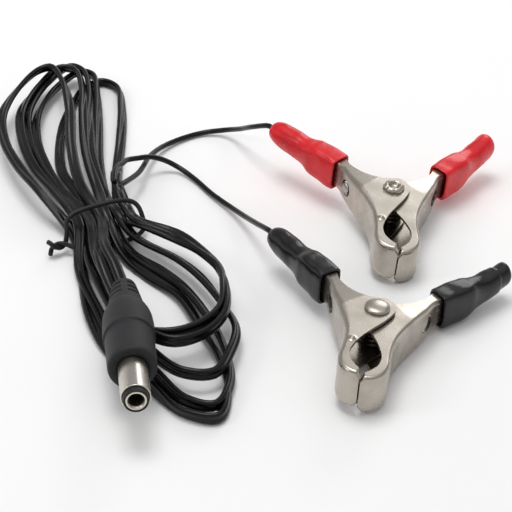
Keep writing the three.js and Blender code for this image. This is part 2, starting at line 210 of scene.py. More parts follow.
def turnedProfile(profile, sides, bump=None):
    # radius and height pairs turned round the third axis; bump(angle, row) adds to the radius
    profile = np.asarray(profile, float)
    angle = np.arange(sides) * 2 * math.pi / sides
    radius = profile[:, :1] + np.zeros(sides)
    if bump is not None:
        radius = radius + bump(angle[None, :], np.arange(len(profile))[:, None])
    height = np.repeat(profile[:, 1:], sides, axis=1)
    return np.stack([radius * np.cos(angle), radius * np.sin(angle), height], axis=-1)


def finishPiece(piece, body, slot, material, *nodes):
    # its material, the body that it rides on and the frame's nodes that it stands for; the slot is not used
    piece.data.materials.clear()
    piece.data.materials.append(material)
    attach(piece, body)
    if nodes:
        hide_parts(*nodes)
    return piece


def clampPlace(joint, turn):
    # origin under the pivot at the lower ear, first axis to the moving side, second to the handles, third up
    up = np.array(joint["axis"], float)
    heading = np.array([-math.sin(math.radians(turn)), math.cos(math.radians(turn)), 0])
    back = unit(heading - np.array([0, 0, 1]) * (heading @ up) / up[2])
    right = np.cross(back, up)
    origin = np.array(joint["pos_m"], float) / mm - up * clampSize["height"] / 2
    return {"origin": origin, "axes": np.array([right, back, up])}


def placed(points, place):
    # local millimetres to shared metres
    return (np.asarray(points) @ place["axes"] + place["origin"]) * mm


clampSize = {
    # lengths in millimetres, handleAngle in degrees; taper is how far each ear comes in along the handle
    "height": 9.2, "sheet": 0.6, "earGap": 0.3, "handleAngle": 44.4, "handleEnd": 21.5, "taper": 1.1,
    "taperFrom": 4.5, "taperTo": 14, "bend": 0.75, "seam": 0.15, "rivetHole": 1.6,
    # the round hole in the wall: its place, the way that it faces, its radius and how far the cut reaches
    "hole": (-9.55, 4.3), "holeFaces": (-0.906, -0.42), "holeRadius": 1.85, "holeReach": 2.5,
    "wireSleeveEnd": 35, "movingSleeveEnd": 32.8,
}
clampTurns = {"red": -0.4, "black": -12}
clamps = {colour: clampPlace(joints[colour + "_clamp_hinge"], turn) for colour, turn in clampTurns.items()}
channelLow = clampSize["sheet"] + clampSize["earGap"]
channelMiddle = (channelLow + clampSize["height"]) / 2
sleeveOffset = 0.75


def onHandle(along, outward):
    # a place on the wire-side handle, from its distance along and outward from the handle's line
    angle = math.radians(clampSize["handleAngle"])
    along, outward = np.asarray(along, float), np.asarray(outward, float)
    x = -math.sin(angle) * along - math.cos(angle) * outward
    y = math.cos(angle) * along - math.sin(angle) * outward
    return np.stack([x, y], axis=-1)


def plugPlace(mount, bodyLength, faceRadius):
    # origin at the strain relief's end, third axis along the plug to its tip
    along = unit(np.array(mount["axis"], float))
    right = unit(np.cross(along, [0, 0, 1]))
    up = np.cross(right, along)
    origin = np.array(mount["pos_m"], float) / mm - along * bodyLength - up * faceRadius
    return {"origin": origin, "axes": np.array([right, up, along])}


plugSize = {
    "body": 30, "faceRadius": 3.7, "barrel": 9.5, "barrelRadius": 2.75, "lip": 1.2, "tail": 22, "sides": 120,
    # the strain relief: its length, its slots' depth and where each slot begins and is full, along and across
    "relief": 9.6, "slots": 3, "firstSlot": 2.0, "pitch": 2.1, "slotDepth": 0.85, "slotEdge": (0.34, 0.5),
    "ribEdge": (0.55, 0.95), "slottedFrom": 2.45, "fineStep": 0.14, "step": 0.6,
}
plug = plugPlace(mounts["plug_shoulder"], plugSize["body"], plugSize["faceRadius"])


class Wire:
    # one output of a node; arithmetic on it adds Math nodes
    def __init__(self, sheet, socket):
        self.sheet, self.socket = sheet, socket

    def math(self, operation, *others):
        return self.sheet.add("ShaderNodeMath", {"operation": operation}, dict(enumerate([self, *others])))

    def __add__(self, other):
        return self.math("ADD", other)

    def __sub__(self, other):
        return self.math("SUBTRACT", other)

    def __rsub__(self, other):
        return self.sheet.add("ShaderNodeMath", {"operation": "SUBTRACT"}, {0: other, 1: self})

    def __mul__(self, other):
        return self.math("MULTIPLY", other)

    __radd__ = __add__
    __rmul__ = __mul__


class Sheet:
    # one material, or the world, being built; place is what its patterns follow
    def __init__(self, owner, space="Object"):
        self.owner = owner
        owner.use_nodes = True
        self.tree = owner.node_tree
        self.tree.nodes.clear()
        self.place = self.add("ShaderNodeTexCoord", {}, {}, space)

    def add(self, kind, settings, values, output=0):
        # a node of any kind: its settings first, then the values or links of its sockets
        node = self.tree.nodes.new(kind)
        for key, value in settings.items():
            if key == "stops":
                self.setStops(node.color_ramp, value)
            else:
                setattr(node, key, value)
        for key, value in values.items():
            if isinstance(value, Wire):
                self.tree.links.new(value.socket, node.inputs[key])
            else:
                node.inputs[key].default_value = value
        return Wire(self, node.outputs[output])

    def setStops(self, ramp, stops):
        # a new ramp has its first and last stops, so only those between them are added; it runs smoothly
        ramp.interpolation = "EASE"
        for position, _ in stops[1:-1]:
            ramp.elements.new(position)
        for element, (_, tone) in zip(ramp.elements, stops):
            element.color = (tone, tone, tone, 1)

    def noise(self, scale, detail=3, roughness=0.55, vector=None):
        # cloudy values from about 0.2 to 0.8
        values = {"Vector": vector or self.place, "Scale": scale, "Detail": detail, "Roughness": roughness}
        return self.add("ShaderNodeTexNoise", {}, values)

    def stretched(self, scale):
        # the piece's own places, scaled apart along each axis
        return self.add("ShaderNodeMapping", {}, {"Vector": self.place, "Scale": scale})

    def band(self, value, low, high):
        # 0 below low and 1 above high
        settings = {"interpolation_type": "SMOOTHSTEP"}
        return self.add("ShaderNodeMapRange", settings, {"Value": value, "From Min": low, "From Max": high})

    def mixed(self, factor, first, second):
        # the first colour at factor 0 and the second at 1
        values = {0: factor, 6: first, 7: second}
        return self.add("ShaderNodeMix", {"data_type": "RGBA"}, values, 2)

    def bump(self, height, strength, distance, below=None):
        # a height turned into a normal, on top of another bump where one is given
        values = {"Height": height, "Strength": strength, "Distance": distance}
        if below is not None:
            values["Normal"] = below
        return self.add("ShaderNodeBump", {}, values)

    def close(self, shader, kind):
        # the shader goes to the output, which has no outputs of its own
        node = self.tree.nodes.new(kind)
        self.tree.links.new(shader.socket, node.inputs["Surface"])

    def finish(self, **sockets):
        # the sockets' names are written with underscores for spaces
        names = {key.replace("_", " "): value for key, value in sockets.items()}
        self.close(self.add("ShaderNodeBsdfPrincipled", {}, names), "ShaderNodeOutputMaterial")
        return self.owner


def newSheet(name):
    return Sheet(bpy.data.materials.new(name))


def shade(red, green, blue):
    # display values 0 to 255 to the linear colour that a shader takes
    values = np.array([red, green, blue]) / 255
    linear = np.where(values <= 0.04045, values / 12.92, ((values + 0.055) / 1.055) ** 2.4)
    return (*[float(v) for v in linear], 1.0)


plate = {
    # noise scales, then how much each gives to the roughness
    "clouds": 180, "lines": 420, "marks": 420, "waves": 120,
    "smoothest": 0.24, "cloudRough": 0.07, "lineRough": 0.04, "markRough": 0.04, "relief": 0.05,
}


def nickelPlate(name, bright, dull, drawn):
    # plated sheet: a faint cloudy tint, fine drawing lines and small handling marks
    sheet = newSheet(name)
    cloud = sheet.band(sheet.noise(plate["clouds"], 4), 0.35, 0.7)
    lines = sheet.noise(plate["lines"], 2, 0.5, sheet.stretched(drawn))
    marks = sheet.band(sheet.noise(plate["marks"], 2, 0.5), 0.5, 0.85)
    rough = plate["smoothest"] + plate["cloudRough"] * cloud + plate["lineRough"] * lines
    height = lines * 0.5 + sheet.noise(plate["waves"], 2) * 0.8
    return sheet.finish(
        Base_Color=sheet.mixed(cloud * 0.7 + marks * 0.15, bright, dull), Metallic=1.0,
        Roughness=rough + plate["markRough"] * marks, Normal=sheet.bump(height, plate["relief"], 0.0001),
    )


dip = {
    "runs": 160, "peel": 2200, "dust": 420, "dustRough": 0.06, "shine": 0.4,
    "runDepth": 0.25, "peelDepth": 0.06,
}


def dippedVinyl(name, colour, deep, gloss):
    # dipped coating: slow runs in the surface, a fine orange peel and dust-dull patches
    sheet = newSheet(name)
    runs = sheet.noise(dip["runs"], 3)
    peel = sheet.noise(dip["peel"], 2)
    dull = sheet.band(sheet.noise(dip["dust"], 3), 0.4, 0.8)
    below = sheet.bump(runs, dip["runDepth"], 0.0006)
    return sheet.finish(
        Base_Color=sheet.mixed(sheet.band(runs, 0.3, 0.75), colour, deep), Specular_IOR_Level=dip["shine"],
        Roughness=gloss + dip["dustRough"] * dull, Normal=sheet.bump(peel, dip["peelDepth"], 0.0001, below),
    )


soft = {"patches": 260, "grainRough": 0.14, "patchRough": 0.06, "shine": 0.28, "grainDepth": 0.45}


def grainedVinyl(name, colour, worn, rough, grain):
    # moulded or extruded soft vinyl: matt grain, with pale rubbed patches
    sheet = newSheet(name)
    fine = sheet.noise(grain, 3, 0.6)
    rubbed = sheet.band(sheet.noise(soft["patches"], 4, 0.6), 0.52, 0.78)
    return sheet.finish(
        Base_Color=sheet.mixed(rubbed * 0.5 + fine * 0.25, colour, worn), Specular_IOR_Level=soft["shine"],
        Roughness=rough + soft["grainRough"] * fine - soft["patchRough"] * rubbed,
        Normal=sheet.bump(fine, soft["grainDepth"] * rough, 0.0001),
    )


finishes = {
    "nickelPlate": nickelPlate("nickelPlate", shade(184, 177, 167), shade(160, 152, 142), (1, 1, 9)),
    "brightNickel": nickelPlate("brightNickel", shade(212, 207, 197), shade(186, 179, 168), (6, 1, 6)),
    "springSteel": nickelPlate("springSteel", shade(112, 105, 98), shade(74, 69, 64), (1, 1, 1)),
    "solder": nickelPlate("solder", shade(170, 168, 163), shade(120, 116, 110), (1, 1, 1)),
    "redVinyl": dippedVinyl("redVinyl", shade(224, 30, 40), shade(196, 18, 28), 0.24),
    "blackVinyl": dippedVinyl("blackVinyl", shade(22, 22, 23), shade(15, 15, 16), 0.2),
    "plugVinyl": grainedVinyl("plugVinyl", shade(34, 34, 36), shade(46, 46, 48), 0.5, 5200),
    "cordVinyl": grainedVinyl("cordVinyl", shade(12, 11, 11), shade(20, 19, 19), 0.19, 3600),
    "insulator": grainedVinyl("insulator", shade(30, 29, 28), shade(44, 42, 40), 0.4, 3000),
    "tieVinyl": grainedVinyl("tieVinyl", shade(30, 30, 31), shade(44, 44, 45), 0.4, 3000),
}
print("materials made")


# Three key turns of the twin cord, each as its lower and its upper loop; other turns are mixed from these.
hank = {
    # each core's radius, half the way between cores, the cord's width and how much of a core is outline
    "core": 0.62, "spacing": 0.6, "width": 2.44, "outline": 0.74, "around": 11, "step": 1.1, "perKnot": 14,
    # the waist: its place, its direction in degrees, its two layers, its outer strands and their pitch
    "tie": (-60.8, 17.2), "across": 27.5, "low": 1.7, "high": 4.3, "right": 6.4, "left": -6.2, "pitch": 1.24,
    # a loop's lowest height, the stack's height, then for each side the spread of place, height and roll
    "floor": 0.9, "stack": 4.6, "seed": 4,
    "lowerSpread": (0.35, 0.15, 0.25), "lowerRise": 0.5, "lowerRoll": 1.35,
    "upperSpread": (0.3, 0.12, 0.22), "upperRise": 1.6, "upperRoll": 1.3,
    "lowerShares": [1, 0.9, 0.5, 0.14, 0], "upperShares": [1, 0.64, 0.5, 0.37, 0],
    "lowerLoops": [
        # from the waist down the right side, round the end and up the left side to the waist
        [(-55, 7), (-48.6, 0.3), (-43.3, -6.5), (-38.8, -17), (-34.5, -29), (-32.2, -38.5), (-34.6, -45.2),
         (-41, -43.5), (-48.5, -34), (-55, -26), (-59.5, -14), (-63.6, 1)],
        [(-52.1, 11.1), (-44.6, 3.5), (-39.3, -3.1), (-34.6, -12), (-31.6, -20.5), (-32.2, -28), (-36, -35.4),
         (-41.8, -35), (-48, -28), (-53.2, -21), (-57.4, -10.5), (-61.6, 2)],
        [(-52.2, 13.7), (-44.7, 8.7), (-39, 3.2), (-35, -3.5), (-33.8, -10.5), (-35, -17.8), (-38.6, -23.4),
         (-43.5, -26.6), (-48.5, -25), (-53, -18.5), (-56.5, -9), (-60, 2)],
    ],
    "upperLoops": [
        # from the waist up the left side, round the end and down the right side to the waist
        [(-74, 25), (-80, 35), (-84.5, 47), (-86, 58), (-84, 69), (-80, 77.5), (-76.8, 78.5), (-74, 72),
         (-71.5, 61), (-69, 44), (-65, 27)],
        [(-71, 29), (-76, 39), (-80, 51), (-81, 64), (-78, 77), (-73.5, 84.5), (-70, 82.5), (-67.8, 73),
         (-66.5, 60), (-65, 44), (-61.5, 28)],
        [(-68, 32), (-71, 40), (-72.5, 51), (-72.5, 64), (-69.8, 76), (-65.5, 82), (-61.8, 79), (-60, 69),
         (-59, 54), (-58.6, 40), (-57.6, 28)],
    ],
    "start": [(-58.4, 33, 5.4), (-58, 28, 6.4), (-57, 24.5, 6.3)], "startRoll": [0.2, 0.3, 0.2],
    "end": [(-58.8, 4, 6.3), (-56.4, -3, 6.6), (-54.7, -8.5, 6.5), (-53.7, -12.6, 6.5)],
    "endRoll": [0.1, 0.05, 0, 0], "waistRoll": 0.15, "backRoll": 0.1,
}


def keyMixed(loops, share):
    # share 0 is the first key loop, 0.5 the second and 1 the third
    loops = np.array(loops, float)
    if share < 0.5:
        return loops[0] + (loops[1] - loops[0]) * share * 2
    return loops[1] + (loops[2] - loops[1]) * (share * 2 - 1)


def waistPoint(values, order, upper):
    # strands lie side by side across the tie, in two layers
    angle = math.radians(values["across"])
    lateral = np.array([math.cos(angle), math.sin(angle)])
    x, y = np.array(values["tie"]) + lateral * order
    return [x, y, values["high"] if upper else values["low"]]


def loosened(loop, rise, roll, spread, draw):
    # a loop's places, heights and rolls, each moved by its own small random amount
    places = loop + draw.normal(0, spread[0], loop.shape)
    rise = rise + draw.normal(0, spread[1], len(loop))
    return np.column_stack([places, rise]), roll + draw.normal(0, spread[2], len(loop))


def hankRoute(values):
    # Each turn goes down the right of the waist, round a lower loop, up its left and round an upper loop.
    # Its share runs from 1, the turn nearest the clamps, to 0, so that the loops fan over one another.
    draw = np.random.default_rng(values["seed"])
    points, rolls = [*values["start"]], [*values["startRoll"]]
    turns = len(values["lowerShares"])
    for turn, (share, upperShare) in enumerate(zip(values["lowerShares"], values["upperShares"])):
        points.append(waistPoint(values, values["right"] - values["pitch"] * turn, turn % 2 == 0))
        rolls.append(values["waistRoll"] * (-1) ** turn)
        loop = keyMixed(values["lowerLoops"], share)
        step = np.arange(len(loop))
        arch = values["lowerRise"] * np.sin(np.linspace(0, math.pi, len(loop)))
        roll = values["lowerRoll"] * (ease(step, 1, 4) * (1 - ease(step, 7, 10)))
        rise = values["floor"] + values["stack"] * share + arch
        places, turned = loosened(loop, rise, roll, values["lowerSpread"], draw)
        points.extend(places)
        rolls.extend(turned)
        order = values["left"] + values["pitch"] * (turns - 1 - turn)
        points.append(waistPoint(values, order, turn % 2 == 1))
        rolls.append(values["backRoll"])
        loop = keyMixed(values["upperLoops"], upperShare)
        step = np.arange(len(loop))
        arch = values["upperRise"] * hump(step, 6, 2) * (1 - upperShare)
        roll = values["upperRoll"] * (ease(step, 2, 4.5) * (1 - ease(step, 6.5, 9)))
        rise = values["floor"] + values["stack"] * (1 - upperShare) + arch
        places, turned = loosened(loop, rise, roll, values["upperSpread"], draw)
        points.extend(places)
        rolls.extend(turned)
    points.append(waistPoint(values, values["right"] - values["pitch"] * turns, True))
    rolls.append(values["backRoll"])
    return np.array([*points, *values["end"]]), np.array([*rolls, *values["endRoll"]])


def twinSection(values):
    # two round cores joined by a web, as one closed outline: an arc on the right, then the same turned over
    angle = np.linspace(-values["outline"] * math.pi, values["outline"] * math.pi, values["around"])
    across, up = values["spacing"] + values["core"] * np.cos(angle), values["core"] * np.sin(angle)
    right = np.stack([across, up], axis=1)
    return np.vstack([right, -right])


def makeHank(values):
    # the outline carried along the smoothed route; where the cord is turned it is lifted off the floor
    knots, rolls = hankRoute(values)
    dense = smoothLine(np.column_stack([knots, rolls]), values["perKnot"] * len(knots))
    line, _ = evenly(dense[:, :3], values["step"])
    along = np.concatenate([[0], np.cumsum(np.linalg.norm(np.diff(dense[:, :3], axis=0), axis=1))])
    roll = np.interp(np.linspace(0, along[-1], len(line)), along, dense[:, 3])
    line[:, 2] = np.maximum(line[:, 2], values["core"] + values["spacing"] * np.abs(np.sin(roll)))
    rings = swept(line, twinSection(values), roll)
    piece = surface("twinCord", rings * mm, wrapColumns=True, capped=True)
    length = float(along[-1]) * mm
    print("twin cord is", round(length, 3), "m long")
    return piece, line * mm, length


twinCord, twinLine, twinLength = makeHank(hank)
finishPiece(twinCord, "lead", "cord_vinyl", finishes["cordVinyl"], "cord_hank")


leads = {
    "diameter": 1.2, "sides": 16, "step": 0.7, "perKnot": 20,
    "red": [
        (-55.7, 28.9, 5.9), (-54.6, 31.8, 5.1), (-53.6, 34.8, 4.4), (-52.9, 38.1, 3.8), (-51.7, 45, 2.5),
        (-48.7, 51.6, 1.3), (-43.7, 56.4, 0.8), (-39.7, 58.2, 0.9), (-35, 57.6, 1.9), (-31.5, 53.5, 4.6),
        (-28.5, 47.9, 8.4)],
    "black": [
        (-57.1, 35, 6.6), (-56.3, 37.3, 6.1), (-54.2, 39.2, 5.4), (-51.4, 41.1, 4.6), (-48.6, 42.2, 3.2),
        (-45.3, 41.7, 1.6), (-41.6, 38.1, 0.8), (-37.5, 31.7, 0.8), (-33, 24.8, 1.6), (-29.9, 18.4, 3.4),
        (-27.8, 13.1, 5.4)],
    "redFromSplit": [(-57.3, 25.2, 6.4), (-56.6, 26.8, 6.4)],
    "blackFromSplit": [(-58.2, 26, 7.4), (-58.3, 30, 7.6), (-57.9, 33, 7.2)],
    # distances along the handle and out from it, from the sleeve's tip to the solder
    "inSleeve": [*((along, sleeveOffset) for along in (36.2, 35, 28, 22, 17)), (11.6, 1.1)],
}


def makeLead(colour, values):
    # a round cord along a smooth line, from the split end of the twin cord to the handle's inside
    flat = onHandle(*np.array(values["inSleeve"]).T)
    inside = np.column_stack([flat, np.full(len(flat), channelMiddle)])
    knots = np.vstack([values[colour + "FromSplit"], values[colour], placed(inside, clamps[colour]) / mm])
    line, _ = evenly(smoothLine(knots, values["perKnot"] * len(knots)), values["step"])
    rings = swept(line, circle(values["diameter"] / 2, values["sides"]))
    piece = surface(colour + "Lead", rings * mm, wrapColumns=True, capped=True)
    finishPiece(piece, "lead", "cord_vinyl", finishes["cordVinyl"], colour + "_lead")
    line = line[::-1] * mm
    tip = placed([*onHandle(clampSize["wireSleeveEnd"], sleeveOffset), channelMiddle], clamps[colour])
    return piece, line, float(np.linalg.norm(np.diff(line, axis=0), axis=1).sum()), tip


madeLeads = {colour: makeLead(colour, leads) for colour in clamps}
print("cords laid")


tie = {
    # the ring: half its width, its lowest and highest, its squareness, its ends in degrees and its samples
    "wire": 1.0, "halfWidth": 8.3, "low": 0.55, "high": 7.4, "squareness": 3.2,
    "ends": (186, -150), "samples": 60,
    # how far the ring climbs along itself, how far its foot leans forward and where the lean ends
    "climb": 0.65, "lean": 5.5, "leanTop": 1.5,
    # the tails: length, turns, samples, where they begin, and how far apart they run and end
    "tail": 4.2, "twists": 0.8, "tailSamples": 14, "tailFrom": 0.12, "root": (0.5, 3.4, 2.2), "tailRise": 0.2,
    "apart": 0.52, "endsApart": 1.1, "flatness": 0.8, "perKnot": 12, "step": 0.3, "sides": 14,
}


def makeTie(values):
    # a ring with a squared outline, whose two tails turn round each other, away from it, and end apart
    angle = math.radians(hank["across"])
    lateral = np.array([math.cos(angle), math.sin(angle), 0])
    forward = np.array([math.sin(angle), -math.cos(angle), 0])
    upward = np.array([0, 0, 1])
    middle = np.array([*hank["tie"], 0])
    turn = np.radians(np.linspace(*values["ends"], values["samples"]))
    power = 2 / values["squareness"]
    out = values["halfWidth"] * np.sign(np.cos(turn)) * np.abs(np.cos(turn)) ** power
    centre, half = (values["low"] + values["high"]) / 2, (values["high"] - values["low"]) / 2
    height = centre + half * np.sign(np.sin(turn)) * np.abs(np.sin(turn)) ** power
    shift = np.linspace(-values["climb"], values["climb"], values["samples"])
    shift = shift + values["lean"] * (1 - ease(height, 0, values["high"] + values["leanTop"]))
    ring = middle + out[:, None] * lateral + shift[:, None] * forward + height[:, None] * upward
    share = np.linspace(values["tailFrom"], 1, values["tailSamples"])[:, None]
    beside, ahead, above = values["root"]
    root = middle - lateral * (values["halfWidth"] + beside) + forward * ahead + upward * above
    outward = upward * values["tailRise"] - lateral * values["tail"]
    winding = share * values["twists"] * 2 * math.pi
    spread = values["apart"] + values["endsApart"] * ease(share, 0.7, 1)
    sway = forward * np.cos(winding) * spread + upward * np.sin(winding) * spread * values["flatness"]
    upper = root + outward * share - sway
    lower = root + outward * share + sway
    knots = np.vstack([upper[::-1], ring[2:-2], lower])
    line, _ = evenly(smoothLine(knots, values["perKnot"] * len(knots)), values["step"])
    rings = carried(line, circle(values["wire"] / 2, values["sides"]), (0, 0, 1))
    piece = surface("twistTie", rings * mm, wrapColumns=True, capped=True)
    return finishPiece(piece, "lead", "tie_vinyl", finishes["tieVinyl"], "hank_tie")


twistTie = makeTie(tie)


def makePlugBody(values):
    # a turned profile with slots pressed into the strain relief on both sides of two ribs
    outline = np.array([
        (0.02, 0.35), (1.9, 0.3), (2.2, 0.05), (2.42, 0.12), (2.52, 0.5), (2.75, 2), (3.3, 6), (3.72, 9.1),
        (3.9, 9.6), (4.3, 10.6), (4.62, 11.8), (4.8, 12.9), (4.93, 15), (4.98, 17), (5, 19.5), (4.96, 19.72),
        (4.78, 19.8), (4.7, 19.95), (4.68, 20.2), (4.66, 24), (4.63, 28.7), (4.58, 29.4), (4.42, 29.85),
        (4.2, 30), (2.95, 30), (2.86, 29.6), (2.86, 28), (0.02, 28),
    ])
    fine = []
    for start, end in zip(outline[:-1], outline[1:]):
        step = values["fineStep"] if start[1] < values["relief"] else values["step"]
        count = max(1, int(abs(end[1] - start[1]) / step))
        fine.append(start + (end - start) * (np.arange(count)[:, None] / count))
    profile = np.vstack(fine + [outline[-1:]])
    heights = profile[:, 1:]
    outside = (profile[:, :1] > values["slottedFrom"]) & (heights < values["relief"])

    def slots(angle, row):
        # full depth at each slot's middle, easing out along the plug and towards the two ribs
        depth = np.zeros((len(profile), angle.shape[1]))
        sideways = np.abs(np.cos(angle)) * profile[:, :1]
        for slot in range(values["slots"]):
            middle = values["firstSlot"] + values["pitch"] * slot
            near = 1 - ease(np.abs(heights - middle), *values["slotEdge"])
            depth += near * ease(sideways, *values["ribEdge"])
        return -values["slotDepth"] * depth * outside

    points = turnedProfile(profile, values["sides"], slots)
    piece = surface("plugBody", placed(points, plug), wrapColumns=True, capped=True)
    return finishPiece(piece, "lead", "plug_vinyl", finishes["plugVinyl"], "plug_body")


def makeTurnedRing(name, profile, slot, finish, node, sides=96):
    # a closed outline turned round the plug's axis
    points = turnedProfile(profile, sides)
    piece = surface(name, placed(points, plug), wrapRows=True, wrapColumns=True)
    return finishPiece(piece, "lead", slot, finishes[finish], node)


def rounded(corners, radius, steps=5):
    # a closed outline with every corner rounded
    corners = np.array(corners, float)
    before, after = np.roll(corners, 1, axis=0), np.roll(corners, -1, axis=0)
    share = np.linspace(0, 1, steps)[:, None]
    parts = []
    for corner, last, following in zip(corners, before, after):
        reach = min(radius, 0.45 * np.linalg.norm(last - corner), 0.45 * np.linalg.norm(following - corner))
        start, end = corner + unit(last - corner) * reach, corner + unit(following - corner) * reach
        parts.append((1 - share) ** 2 * start + 2 * share * (1 - share) * corner + share ** 2 * end)
    return np.vstack(parts)


def makePlug(values):
    # the body and, from outside in, the barrel, the ring between the contacts and the inner contact
    tail, tip = values["tail"], values["body"] + values["barrel"]
    lip, wide = tip + values["lip"], values["barrelRadius"]
    outer = rounded([(2.5, tail), (wide, tail), (wide, tip), (2.45, tip)], 0.16)
    ring = rounded([(2.02, tail), (2.42, tail), (2.42, tip + 0.2), (2.3, lip), (2.02, lip)], 0.18)
    bore = [(1.28, tail), (1.96, tail), (1.96, lip - 0.1), (1.62, lip - 0.02), (1.3, lip - 0.55)]
    inner = rounded(bore, 0.12)
    return [
        makePlugBody(values),
        makeTurnedRing("plugBarrel", outer, "barrel_nickel", "brightNickel", "plug_outer_contact"),
        makeTurnedRing("plugInsulator", ring, "insulator", "insulator", "plug_insulator"),
        makeTurnedRing("plugInnerContact", inner, "barrel_nickel", "brightNickel", "plug_inner_contact"),
    ]


plugPieces = makePlug(plugSize)
print("plug made")


lever = {
    # matching places along the outer wall and along the ear's free edge, from the handle's end to the nose
    "wall": [(clampSize["handleEnd"], 2.2), (18, 2.2), (14.6, 2.2), (12.8, 2.45)],
    "wallOn": [
        clampSize["hole"], (-8.72, 2.35), (-7.9, 0.4), (-7.1, -1.4), (-6.25, -3.4), (-5.2, -6.6), (-4.7, -10),
        (-4.7, -13), (-4.85, -15.65)],
    "edge": [(clampSize["handleEnd"], -0.7), (18, -0.7), (14.6, -0.7), (11.9, 0.35)],
    "edgeOn": [
        (-5.6, 5), (-2.4, 3.45), (1.7, 3.4), (3.5, 0.6), (2.2, -3.1), (-0.15, -6.9), (-1.85, -10),
        (-2.95, -13.4), (-2.75, -15.7)],
    "noseRadius": 4.85, "noseReach": 20.5, "edgeNose": [(-2.2, -16.9), (-1.3, -18.05), (-0.15, -19.1)],
    "rows": 220, "earColumns": 16, "bendColumns": 5, "wallColumns": 9, "notch": 1.05, "notchSlope": 0.7,
    "dimple": {"at": (-3.15, -10.6), "height": 0.5, "radius": 0.5}, "sharpFrom": 38, "overshoot": 3,
}


def leverPlan(values):
    # seen from above: handle points, ear points and, on the wall's side, an arc round the nose to the seam
    centre = values["noseRadius"] - values["noseReach"]
    last = 270 - math.degrees(math.asin(clampSize["seam"] / values["noseRadius"]))
    arc = np.radians(np.linspace(180, last, 4)[1:])
    nose = np.stack([values["noseRadius"] * np.cos(arc), centre + values["noseRadius"] * np.sin(arc)], axis=1)
    wall = np.vstack([onHandle(*np.array(values["wall"]).T), values["wallOn"], nose])
    edge = np.vstack([onHandle(*np.array(values["edge"]).T), values["edgeOn"], values["edgeNose"]])
    return smoothLine(wall, values["rows"]), smoothLine(edge, values["rows"])


def tapered(along):
    # how far each ear has come in towards the channel's middle
    share = (along - clampSize["taperFrom"]) / (clampSize["taperTo"] - clampSize["taperFrom"])
    return clampSize["taper"] * np.clip(share, 0, 1)


def leverPoints(values):
    # columns go from the lower ear's edge over the lower bend, the wall and the upper bend to the upper edge
    wall, edge = leverPlan(values)
    run = unit(np.gradient(wall, axis=0))
    inward = np.stack([-run[:, 1], run[:, 0]], axis=1)
    bend = clampSize["bend"]
    handleWay = onHandle(1, 0)
    taper = tapered(wall @ handleWay)
    fromSeam = np.linalg.norm(wall - wall[-1], axis=1)
    notch = values["notch"] * (1 - np.clip(fromSeam / (values["notchSlope"] * values["notch"]), 0, 1))
    low, high = channelLow + taper + notch, clampSize["height"] - taper - notch
    rim = wall + inward * bend
    share = np.linspace(0, 1, values["earColumns"])[:, None, None]
    ear = edge + (rim - edge) * share
    earTaper = tapered(ear @ handleWay)
    quarter = np.linspace(0, math.pi / 2, values["bendColumns"] + 2)[1:-1, None]
    bendIn, bendUp = bend * (1 - np.sin(quarter)), bend * (1 - np.cos(quarter))
    columns = [np.column_stack([ear[k], channelLow + earTaper[k] + notch]) for k in range(len(ear))]
    columns += [np.column_stack([wall + inward * i, low + u]) for i, u in zip(bendIn, bendUp)]
    for part in np.linspace(0, 1, values["wallColumns"]):
        columns.append(np.column_stack([wall, low + bend + (high - low - 2 * bend) * part]))
    columns += [np.column_stack([wall + inward * i, high - u]) for i, u in zip(bendIn[::-1], bendUp[::-1])]
    dimple = values["dimple"]
    raised = dimple["height"] * hump(np.linalg.norm(ear - dimple["at"], axis=2), 0, dimple["radius"])
    for k in reversed(range(len(ear))):
        columns.append(np.column_stack([ear[k], clampSize["height"] - earTaper[k] - notch + raised[k]]))
    return np.stack(columns, axis=1)


def cutBy(piece, cutters):
    # each cutter is taken out of the piece and then removed
    for cutter in cutters:
        tool = piece.modifiers.new("cut", "BOOLEAN")
        tool.object = cutter
        tool.solver = "EXACT"
    applied(piece)
    for cutter in cutters:
        bpy.data.objects.remove(cutter)
    return piece


def rodPoints(radius, start, end, sides=48):
    # a circle carried from start to end; its first side may point any way across the rod
    path = np.array([start, end], float)
    return carried(path, circle(radius, sides), unit(np.cross(path[1] - path[0], [0.3, 0.5, 0.8])))


def turnedOver(points):
    # half a turn about the line of the nose
    return points * np.array([-1, 1, -1]) + np.array([0, 0, clampSize["height"]])


def same(points):
    # the side that is not turned over
    return points


def makeLever(name, place, side, body, node):
    # the bent sheet is given its thickness outwards, then the wall's hole and the rivet's are cut
    points = leverPoints(lever)
    piece = surface(name, placed(side(points), place), outward=False)
    thickness = piece.modifiers.new("sheet", "SOLIDIFY")
    thickness.thickness = clampSize["sheet"] * mm
    thickness.offset = 1
    thickness.use_even_offset = True
    applied(piece)
    hole = np.array([*clampSize["hole"], channelMiddle])
    across = np.array([*clampSize["holeFaces"], 0]) * clampSize["holeReach"]
    below, above = -lever["overshoot"], clampSize["height"] + lever["overshoot"]
    rods = [
        rodPoints(clampSize["holeRadius"], hole - across, hole + across),
        rodPoints(clampSize["rivetHole"], (0, 0, below), (0, 0, above)),
    ]
    cutters = [surface("cutter", placed(side(rod), place), wrapColumns=True, capped=True) for rod in rods]
    cutBy(piece, cutters)
    faceOutwards(piece.data)
    piece.data.shade_smooth()
    piece.data.set_sharp_from_angle(angle=math.radians(lever["sharpFrom"]))
    return finishPiece(piece, body, "nickel_plate", finishes["nickelPlate"], node)


